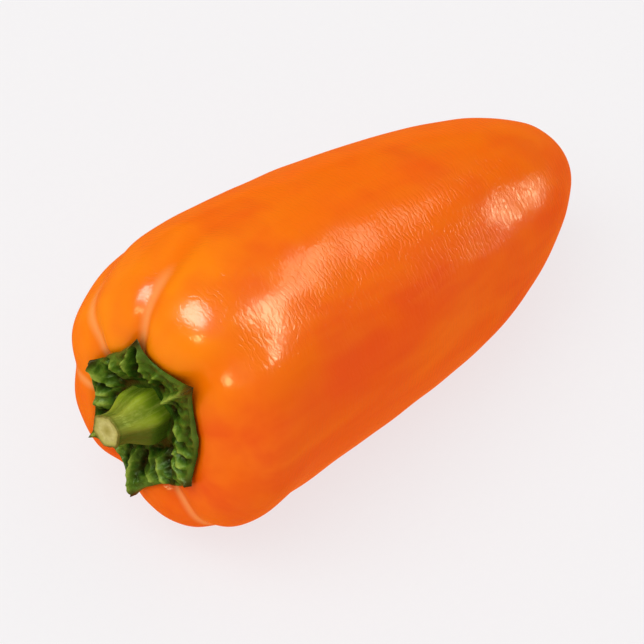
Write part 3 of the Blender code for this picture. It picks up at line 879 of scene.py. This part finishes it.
# The table it was photographed on: a plain pale sweep of matte paper. It is lit from below as well, so it
# glows a little by itself, stays almost white and shows only a faint shadow. Gloss doesn't mirror it.
FLOOR_HALF = 3.0
FLOOR_DROP = 0.00004
floor_mesh = bpy.data.meshes.new("paper_floor")
corners = [(x, y, -FLOOR_DROP) for x, y in ((-1, -1), (1, -1), (1, 1), (-1, 1))]
floor_mesh.from_pydata([(x * FLOOR_HALF, y * FLOOR_HALF, z) for x, y, z in corners], [], [(0, 1, 2, 3)])
floor = bpy.data.objects.new("paper_floor", floor_mesh)
bpy.context.scene.collection.objects.link(floor)
paper = bpy.data.materials.new("matte_white_paper")
paper.use_nodes = True
paper_shader = paper.node_tree.nodes["Principled BSDF"]
paper_place = add_node(paper, "ShaderNodeTexCoord").outputs["Object"]
paper_fibre = add_node(
    paper, "ShaderNodeTexNoise", {"Vector": paper_place, "Scale": 900.0, "Detail": 2.0}
)
paper_tone = add_node(
    paper,
    "ShaderNodeMix",
    {0: paper_fibre.outputs["Fac"], 6: linear("#757576"), 7: linear("#787979")},
    data_type="RGBA",
)
paper.node_tree.links.new(paper_tone.outputs[2], paper_shader.inputs["Base Color"])
paper_shader.inputs["Emission Color"].default_value = linear("#f4f2f3")
paper_shader.inputs["Emission Strength"].default_value = 0.80
paper_shader.inputs["Roughness"].default_value = 0.9
paper_shader.inputs["Specular IOR Level"].default_value = 0.1
floor.data.materials.append(paper)
floor.visible_glossy = False

# The studio light: a pale room and a great overhead softbox light everything evenly. The skin mirrors
# small softboxes instead: two at the stem end, a bent strip of three above the far side, and three low
# cards past the tip. Each is as large and as far round as its glint on the skin needs.
MIDDLE = Vector((-0.0041, -0.0014, 0.0157))
# Softboxes: name, azimuth and elevation in degrees, distance, width and height in metres, roll in
# degrees, watts, colour, whether it lights the room, and whether gloss mirrors it
SOFTBOXES = (
    ("great_overhead", -100, 62, 1.30, 1.40, 1.40, 0, 7.5, "#ffffff", True, False),
    ("stem_end_softbox", -118.7, 57.2, 0.70, 0.35, 0.24, 122, 2.15, "#fff9ec", False, True),
    ("stem_end_window", -93.2, 36.1, 0.70, 0.20, 0.06, 57, 0.42, "#ffe9a0", False, True),
    ("bent_strip_corner", 40.4, 60.1, 0.70, 0.32, 0.20, 19, 1.74, "#fffad2", False, True),
    ("bent_strip_low_end", 24.5, 54.4, 0.70, 0.24, 0.06, 123, 0.27, "#fffacc", False, True),
    ("bent_strip_far_end", 75.0, 46.5, 0.70, 0.38, 0.18, -28, 0.66, "#fffacc", False, True),
    ("low_tip_card", 69.3, 3.3, 0.70, 0.16, 0.05, 44, 0.18, "#fffacc", False, True),
    ("low_tip_far_card", 73.1, 8.6, 0.70, 0.12, 0.025, 39, 0.07, "#fffacc", False, True),
    ("low_tip_near_card", 57.5, -1.7, 0.70, 0.10, 0.025, 59, 0.035, "#fffacc", False, True),
)
for row in SOFTBOXES:
    name, azimuth, elevation, distance, width, tall, roll, watts, colour, lights_room, mirrored = row
    a, e = math.radians(azimuth), math.radians(elevation)
    towards = Vector((math.sin(a) * math.cos(e), -math.cos(a) * math.cos(e), math.sin(e)))
    lamp = bpy.data.lights.new(name, "AREA")
    lamp.shape = "ELLIPSE"
    lamp.size = width
    lamp.size_y = tall
    lamp.energy = watts
    lamp.color = linear(colour)[:3]
    box = bpy.data.objects.new(name, lamp)
    box.location = MIDDLE + towards * distance
    box.rotation_mode = "QUATERNION"
    turned_over = Quaternion((0, 0, 1), math.radians(roll))
    box.rotation_quaternion = towards.to_track_quat("Z", "Y") @ turned_over
    box.visible_camera = False
    box.visible_diffuse = lights_room
    box.visible_glossy = mirrored
    bpy.context.scene.collection.objects.link(box)

# The table's reflection in the skin is dimmer and warmer than the table: a card that only gloss sees.
sheen_lamp = bpy.data.lights.new("table_sheen", "AREA")
sheen_lamp.size = 1.0
sheen_lamp.energy = 1.1
sheen_lamp.color = (1.0, 0.34, 0.07)
table_sheen = bpy.data.objects.new("table_sheen", sheen_lamp)
table_sheen.location = (0.0, 0.0, -0.00002)
table_sheen.rotation_euler = (math.pi, 0.0, 0.0)
table_sheen.visible_camera = False
table_sheen.visible_diffuse = False
bpy.context.scene.collection.objects.link(table_sheen)

# The room gives pale even light, but gloss sees it warm and dim, so that the skin and the leaf keep their
# full colour where they turn away from the eye.
room = bpy.data.worlds.new("pale_room")
room.use_nodes = True
room_glow = room.node_tree.nodes["Background"]
room_glow.inputs["Strength"].default_value = 0.80
ray = room.node_tree.nodes.new("ShaderNodeLightPath")
room_colour = room.node_tree.nodes.new("ShaderNodeMix")
room_colour.data_type = "RGBA"
room_colour.inputs[6].default_value = linear("#f4f2f3")
room_colour.inputs[7].default_value = linear("#d84a08")
room.node_tree.links.new(ray.outputs["Is Glossy Ray"], room_colour.inputs[0])
room.node_tree.links.new(room_colour.outputs[2], room_glow.inputs["Color"])
bpy.context.scene.world = room
bpy.context.scene.view_settings.view_transform = "Standard"

# The camera: the photograph looks down at the stem end from 48 degrees, with a long lens.
CAMERA_AZIMUTH = math.radians(-43.59)
CAMERA_ELEVATION = math.radians(48.51)
CAMERA_DISTANCE = 0.90
LENS_MM = 382
lens = bpy.data.cameras.new("camera")
lens.lens = LENS_MM
lens.sensor_width = 36
lens.clip_start = 0.01
lens.clip_end = 20.0
camera = bpy.data.objects.new("camera", lens)
back = Vector(
    (
        math.sin(CAMERA_AZIMUTH) * math.cos(CAMERA_ELEVATION),
        -math.cos(CAMERA_AZIMUTH) * math.cos(CAMERA_ELEVATION),
        math.sin(CAMERA_ELEVATION),
    )
)
camera.location = MIDDLE + back * CAMERA_DISTANCE
camera.rotation_mode = "QUATERNION"
camera.rotation_quaternion = back.to_track_quat("Z", "Y")
bpy.context.scene.collection.objects.link(camera)
bpy.context.scene.camera = camera
